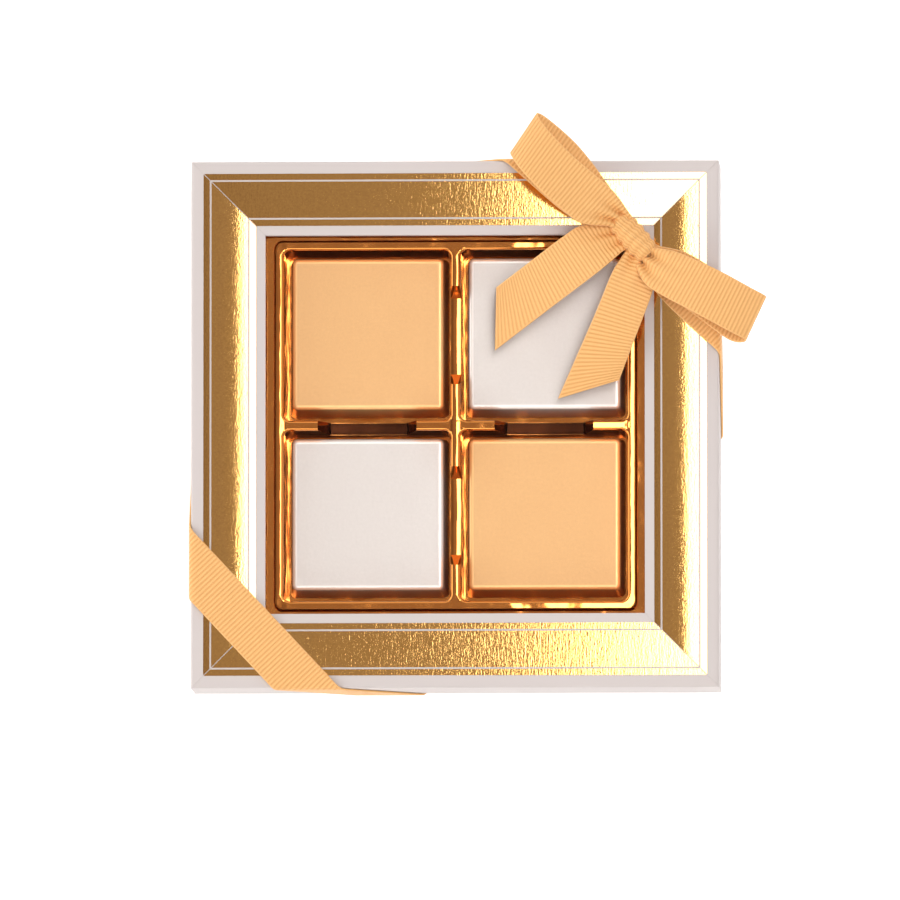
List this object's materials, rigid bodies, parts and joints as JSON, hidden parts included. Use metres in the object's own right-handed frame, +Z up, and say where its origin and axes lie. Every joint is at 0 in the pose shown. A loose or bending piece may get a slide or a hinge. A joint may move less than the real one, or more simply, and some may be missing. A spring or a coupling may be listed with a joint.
{
  "type": "chocolate gift box",
  "caption": "Square gift box with a gold-framed window lid, a moulded tray of foil-wrapped chocolates and a grosgrain ribbon bow.",
  "frame": {"origin": "centre of the base's underside, on the surface that the box lies on", "axes": "+Z up out of the lid, +X to the right and +Y to the top of the lid as it is looked at, with the bow at +X +Y"},
  "size_m": [0.1406, 0.1372, 0.0346],
  "materials": {
    "lid_board": "smooth coated board, pale lilac-grey",
    "base_board": "smooth coated board, pale lilac-grey",
    "gold_foil": "hot-stamped gold foil with a fine grain",
    "clear_film": "clear film",
    "stay_paper": "plain paper",
    "tray_gold": "metallised gold thermoformed sheet",
    "wrapper_orange": "satin orange-gold foil",
    "wrapper_silver": "satin silver foil",
    "chocolate": "moulded chocolate",
    "ribbon": "peach grosgrain ribbon"
  },
  "bodies": {
    "base": {"base_box": "base_board"},
    "tray": {"insert_tray": "tray_gold"},
    "lid": {"frame_rail_top": "lid_board", "frame_rail_left": "lid_board", "frame_rail_bottom": "lid_board", "frame_rail_right": "lid_board", "foil_bands_top": "gold_foil", "foil_bands_left": "gold_foil", "foil_bands_bottom": "gold_foil", "foil_bands_right": "gold_foil", "window_film": "clear_film", "corner_stays": "stay_paper", "ribbon_lower_left": "ribbon", "ribbon_upper_right": "ribbon", "bow_knot": "ribbon", "bow_loop_left": "ribbon", "bow_loop_right": "ribbon", "bow_tail_left": "ribbon", "bow_tail_right": "ribbon"},
    "chocolate_top_left": {"wrapper_top_left": "wrapper_orange", "chocolate_top_left": "chocolate"},
    "chocolate_top_right": {"wrapper_top_right": "wrapper_silver", "chocolate_top_right": "chocolate"},
    "chocolate_bottom_left": {"wrapper_bottom_left": "wrapper_silver", "chocolate_bottom_left": "chocolate"},
    "chocolate_bottom_right": {"wrapper_bottom_right": "wrapper_orange", "chocolate_bottom_right": "chocolate"}
  },
  "joints": [
    {"name": "tray_lift", "type": "slide", "parent": "base", "child": "tray", "axis": [0, 0, 1], "range_m": [0, 0.03]},
    {"name": "lid_lift", "type": "slide", "parent": "tray", "child": "lid", "axis": [0, 0, 1], "range_m": [0, 0.06]},
    {"name": "chocolate_top_left_lift", "type": "slide", "parent": "tray", "child": "chocolate_top_left", "axis": [0, 0, 1], "range_m": [0, 0.005]},
    {"name": "chocolate_top_right_lift", "type": "slide", "parent": "tray", "child": "chocolate_top_right", "axis": [0, 0, 1], "range_m": [0, 0.005]},
    {"name": "chocolate_bottom_left_lift", "type": "slide", "parent": "tray", "child": "chocolate_bottom_left", "axis": [0, 0, 1], "range_m": [0, 0.005]},
    {"name": "chocolate_bottom_right_lift", "type": "slide", "parent": "tray", "child": "chocolate_bottom_right", "axis": [0, 0, 1], "range_m": [0, 0.005]}
  ]
}
